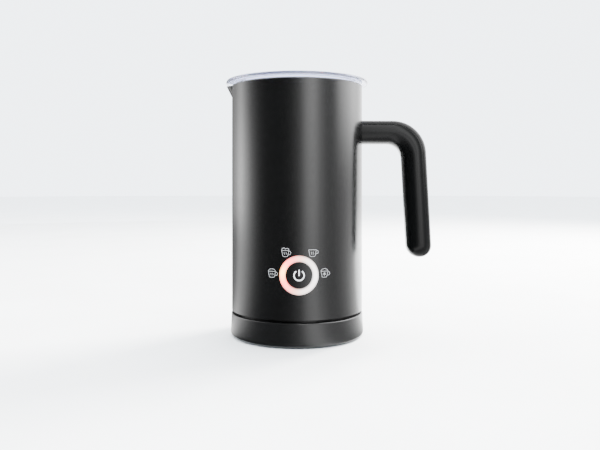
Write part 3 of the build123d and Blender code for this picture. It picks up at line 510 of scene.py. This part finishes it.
# Brightness of the room that the jug mirrors, by direction: degrees from straight towards the
# camera, positive to the right. A soft strip stands at 25 degrees and the left front is dark. The
# levels are for the flat part on the table, for the wall from table height up to ROOM_MID, and
# for the wall from ROOM_TOP upwards.
ROOM = (
    (-175, 0.3, 0.5, 0.6), (-150, 0.4, 0.7, 0.6), (-130, 0.7, 2.5, 1.5), (-111, 3.6, 10.5, 5.0),
    (-98, 3.2, 6.4, 2.6), (-84, 1.9, 2.8, 1.0), (-70, 0.6, 0.8, 0.36), (-55, 0.18, 0.20, 0.14),
    (-25, 0.12, 0.12, 0.10), (-9, 0.22, 0.26, 0.28), (6, 0.8, 0.95, 1.35), (18, 3.0, 3.9, 5.5),
    (29, 3.4, 5.0, 6.2), (38, 2.0, 2.9, 2.9), (50, 1.2, 1.2, 1.3), (64, 1.0, 0.9, 1.1),
    (84, 1.9, 1.3, 8.0), (111, 4.0, 2.6, 11.5), (130, 5.5, 4.6, 6.0), (175, 5.4, 5.4, 5.4),
)
ROOM_R, ROOM_H = 1.6, 3.0
ROOM_MID, ROOM_TOP = 0.14, 0.42
ROOM_NEAR = 0.0511  # the screen's lower part lies flat on the table from here to its wall
ROOM_LIFT = 0.0003
ROOM_SHEET = (-165, 118)  # the flat part lies between these angles
ROOM_PEAK = 12.0  # the strength that a level is a share of
ROOM_COLUMNS = 140
FLAT_LEVEL, LOW_LEVEL, HIGH_LEVEL = 1, 2, 3  # the levels' places in a row of ROOM


def room_mesh():
    """The wall round the jug, its ceiling rim, and the flat part in front."""
    mesh = bmesh.new()
    start, end = ROOM[0][0], ROOM[-1][0]
    last = None
    for k in range(ROOM_COLUMNS + 1):
        degrees = start + (end - start) * k / ROOM_COLUMNS
        a = math.radians(degrees)
        profile = [(ROOM_R, ROOM_LIFT), (ROOM_R, ROOM_H), (ROOM_R / 4, ROOM_H), (ROOM_NEAR, ROOM_LIFT)]
        column = [mesh.verts.new((r * math.sin(a), -r * math.cos(a), z)) for r, z in profile]
        if last:
            mesh.faces.new((last[0], last[1], column[1], column[0]))
            mesh.faces.new((last[1], last[2], column[2], column[1]))
            if ROOM_SHEET[0] < degrees < ROOM_SHEET[1]:
                mesh.faces.new((last[3], last[0], column[0], column[3])).material_index = 1
        last = column
    data = bpy.data.meshes.new("room_screen")
    mesh.to_mesh(data)
    mesh.free()
    return data


def room_light(name, low_column, high_column):
    """Light that follows the room's levels: one column low down, the other high up."""
    material = bpy.data.materials.new(name)
    material.use_nodes = True
    tree = material.node_tree
    tree.nodes.clear()

    def node(kind, **values):
        made = tree.nodes.new("ShaderNode" + kind)
        for key, value in values.items():
            setattr(made, key, value)
        return made

    def profile(column):
        ramp = node("ValToRGB")
        stops = ramp.color_ramp.elements
        while len(stops) < len(ROOM):
            stops.new(0.5)
        for stop, levels in zip(stops, ROOM):
            stop.position = (levels[0] - ROOM[0][0]) / (ROOM[-1][0] - ROOM[0][0])
            shade = levels[column] / ROOM_PEAK
            stop.color = (shade, shade, shade, 1)
        return ramp

    place, parts = node("TexCoord"), node("SeparateXYZ")
    back, turn = node("Math", operation="MULTIPLY"), node("Math", operation="ARCTAN2")
    share, climb = node("MapRange"), node("MapRange", interpolation_type="SMOOTHSTEP")
    low, high, blend = profile(low_column), profile(high_column), node("Mix", data_type="RGBA")
    glow, out = node("Emission"), node("OutputMaterial")
    back.inputs[1].default_value = -1
    share.inputs["From Min"].default_value = math.radians(ROOM[0][0])
    share.inputs["From Max"].default_value = math.radians(ROOM[-1][0])
    climb.inputs["From Min"].default_value = ROOM_MID
    climb.inputs["From Max"].default_value = ROOM_TOP
    glow.inputs["Strength"].default_value = ROOM_PEAK
    colour_in = [socket for socket in blend.inputs if socket.type == "RGBA"]
    colour_out = [socket for socket in blend.outputs if socket.type == "RGBA"]
    for output, target in (
        (place.outputs["Object"], parts.inputs["Vector"]),
        (parts.outputs["Y"], back.inputs[0]),
        (parts.outputs["X"], turn.inputs[0]),
        (back.outputs[0], turn.inputs[1]),
        (turn.outputs[0], share.inputs["Value"]),
        (share.outputs["Result"], low.inputs["Fac"]),
        (share.outputs["Result"], high.inputs["Fac"]),
        (parts.outputs["Z"], climb.inputs["Value"]),
        (climb.outputs["Result"], blend.inputs["Factor"]),
        (low.outputs["Color"], colour_in[0]),
        (high.outputs["Color"], colour_in[1]),
        (colour_out[0], glow.inputs["Color"]),
        (glow.outputs["Emission"], out.inputs["Surface"]),
    ):
        tree.links.new(output, target)
    return material


def room():
    """A curved screen round the jug that only its reflections see."""
    screen = bpy.data.objects.new("room_screen", room_mesh())
    bpy.context.collection.objects.link(screen)
    screen.data.materials.append(room_light("wall_light", LOW_LEVEL, HIGH_LEVEL))
    screen.data.materials.append(room_light("table_light", FLAT_LEVEL, FLAT_LEVEL))
    screen.rotation_euler.z = VIEW_TURN
    screen.visible_camera = False
    screen.visible_diffuse = False
    screen.visible_transmission = False
    screen.visible_shadow = False


JUG_MIDDLE = Vector((0, 0, 0.1))


def area_light(name, place, size, power, colour):
    """A rectangular lamp, aimed at the jug, that reflections don't see."""
    light = bpy.data.lights.new(name, "AREA")
    light.shape = "RECTANGLE"
    light.size, light.size_y = size
    light.energy = power
    light.color = colour
    lamp = bpy.data.objects.new(name, light)
    lamp.location = place
    lamp.rotation_euler = (JUG_MIDDLE - lamp.location).to_track_quat("-Z", "Y").to_euler()
    lamp.visible_glossy = False
    bpy.context.collection.objects.link(lamp)


WALL_TONE = (0.86, 0.93, 1.0)
WALL_LEVEL = 5.4
world = bpy.data.worlds.new("studio")
world.use_nodes = True
world.node_tree.nodes["Background"].inputs["Color"].default_value = (*WALL_TONE, 1)
world.node_tree.nodes["Background"].inputs["Strength"].default_value = WALL_LEVEL
bpy.context.scene.world = world

floor()
room()
area_light("overhead", (0.25, 0.35, 1.4), (1.2, 1.2), 60, (1.0, 0.99, 0.97))
area_light("key", (0.9, 0.7, 0.9), (0.5, 0.5), 130, (1.0, 0.98, 0.95))
